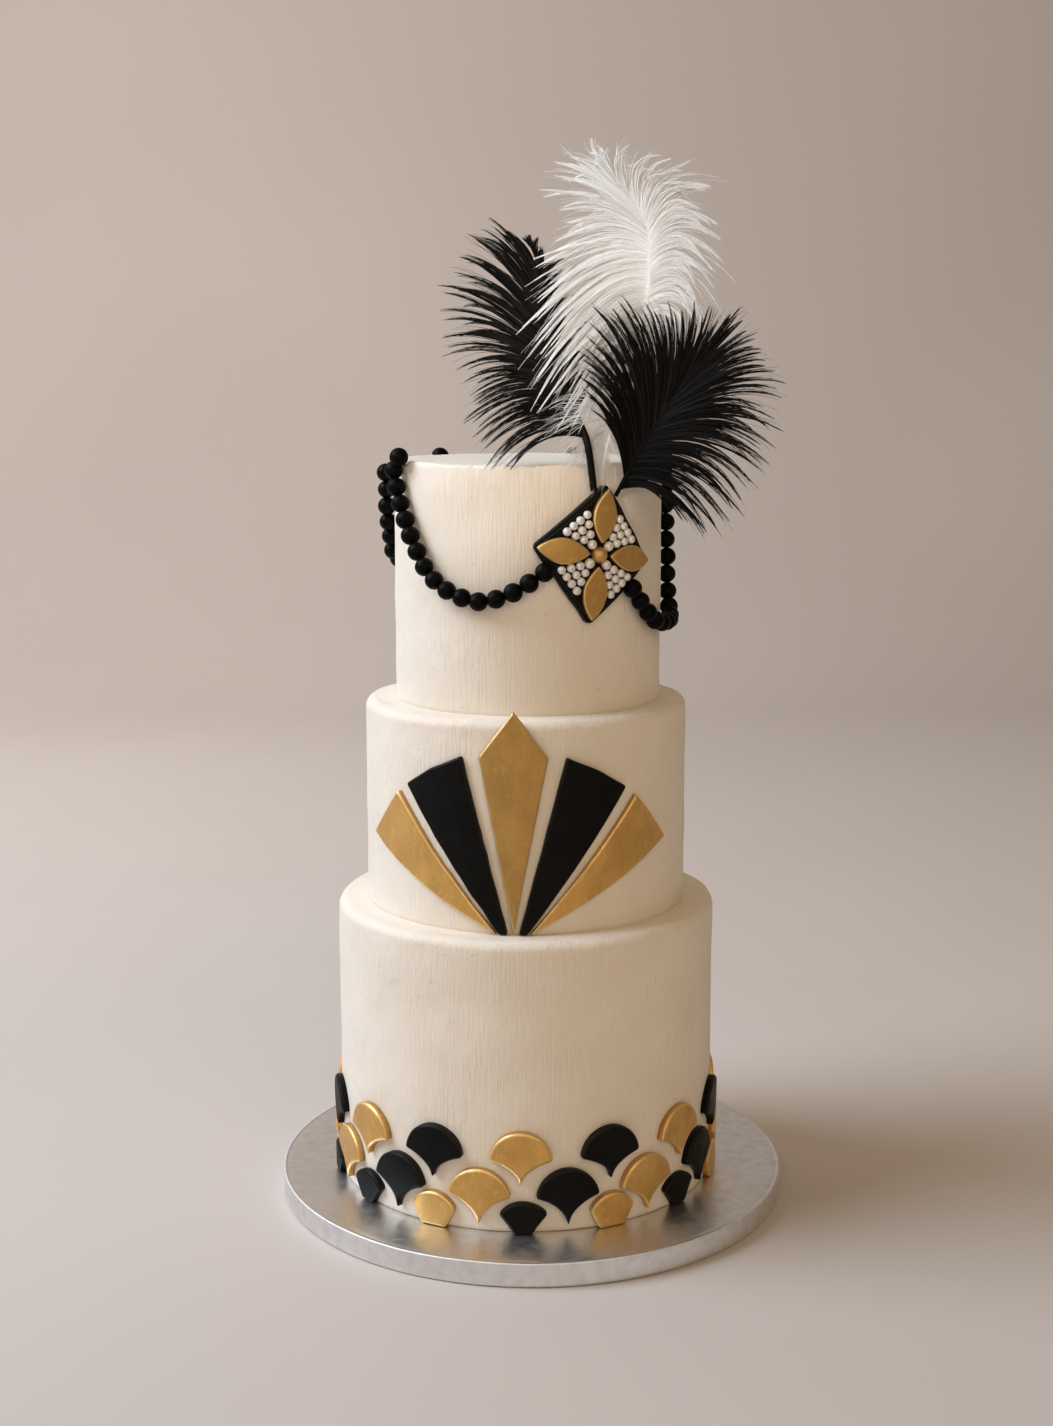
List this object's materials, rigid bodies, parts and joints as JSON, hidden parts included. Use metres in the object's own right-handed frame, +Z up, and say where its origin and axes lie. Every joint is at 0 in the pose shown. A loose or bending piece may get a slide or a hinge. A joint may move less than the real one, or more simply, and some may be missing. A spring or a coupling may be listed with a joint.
{
  "type": "tiered wedding cake",
  "caption": "Round tiered wedding cake on a silver board, iced smooth in ivory, with a fan, a scale border, a jewelled brooch, a draped bead strand and ostrich plumes.",
  "frame": {"origin": "centre of the board's underside, on the surface that the cake stands on", "axes": "+Z up, -Y towards the front with the fan, +X to the right as seen from the front"},
  "size_m": [0.2748, 0.2748, 0.5526],
  "materials": {
    "silver_foil": "smooth silver foil over a thick card drum, softly reflective",
    "ivory_icing": "satin smoothed ivory icing with faint scraper streaks and pits",
    "gold_icing": "sugar paste brushed with antique gold lustre",
    "black_icing": "satin black sugar paste",
    "black_bead": "matt black sugar beads",
    "pearl": "pearlescent silvery-white sugar pearls",
    "black_plume": "dyed black ostrich plume, soft sheen",
    "white_plume": "white ostrich plume, soft and slightly see-through"
  },
  "bodies": {
    "root": {"board": "silver_foil", "tier_bottom": "ivory_icing", "tier_middle": "ivory_icing", "tier_top": "ivory_icing", "scale_high_01": "black_icing", "scale_high_02": "gold_icing", "scale_high_03": "black_icing", "scale_high_04": "gold_icing", "scale_high_05": "black_icing", "scale_high_06": "gold_icing", "scale_high_07": "black_icing", "scale_high_08": "gold_icing", "scale_high_09": "black_icing", "scale_high_10": "gold_icing", "scale_high_11": "black_icing", "scale_high_12": "gold_icing", "scale_high_13": "black_icing", "scale_high_14": "gold_icing", "scale_mid_01": "black_icing", "scale_mid_02": "gold_icing", "scale_mid_03": "black_icing", "scale_mid_04": "gold_icing", "scale_mid_05": "gold_icing", "scale_mid_06": "black_icing", "scale_mid_07": "gold_icing", "scale_mid_08": "black_icing", "scale_mid_09": "gold_icing", "scale_mid_10": "black_icing", "scale_mid_11": "gold_icing", "scale_mid_12": "black_icing", "scale_mid_13": "gold_icing", "scale_mid_14": "black_icing", "scale_low_01": "black_icing", "scale_low_02": "gold_icing", "scale_low_03": "black_icing", "scale_low_04": "gold_icing", "scale_low_05": "black_icing", "scale_low_06": "black_icing", "scale_low_07": "gold_icing", "scale_low_08": "black_icing", "scale_low_09": "gold_icing", "scale_low_10": "black_icing", "scale_low_11": "gold_icing", "scale_low_12": "black_icing", "scale_low_13": "gold_icing", "scale_low_14": "black_icing", "fan_kite": "gold_icing", "fan_wedge_left": "black_icing", "fan_wedge_right": "black_icing", "fan_blade_left": "gold_icing", "fan_blade_right": "gold_icing", "brooch_plaque": "black_icing", "petal_top": "gold_icing", "petal_right": "gold_icing", "petal_bottom": "gold_icing", "petal_left": "gold_icing", "bead_strand": "black_bead", "feather_black_left": "black_plume", "feather_white": "white_plume", "feather_black_right": "black_plume"}
  },
  "joints": []
}
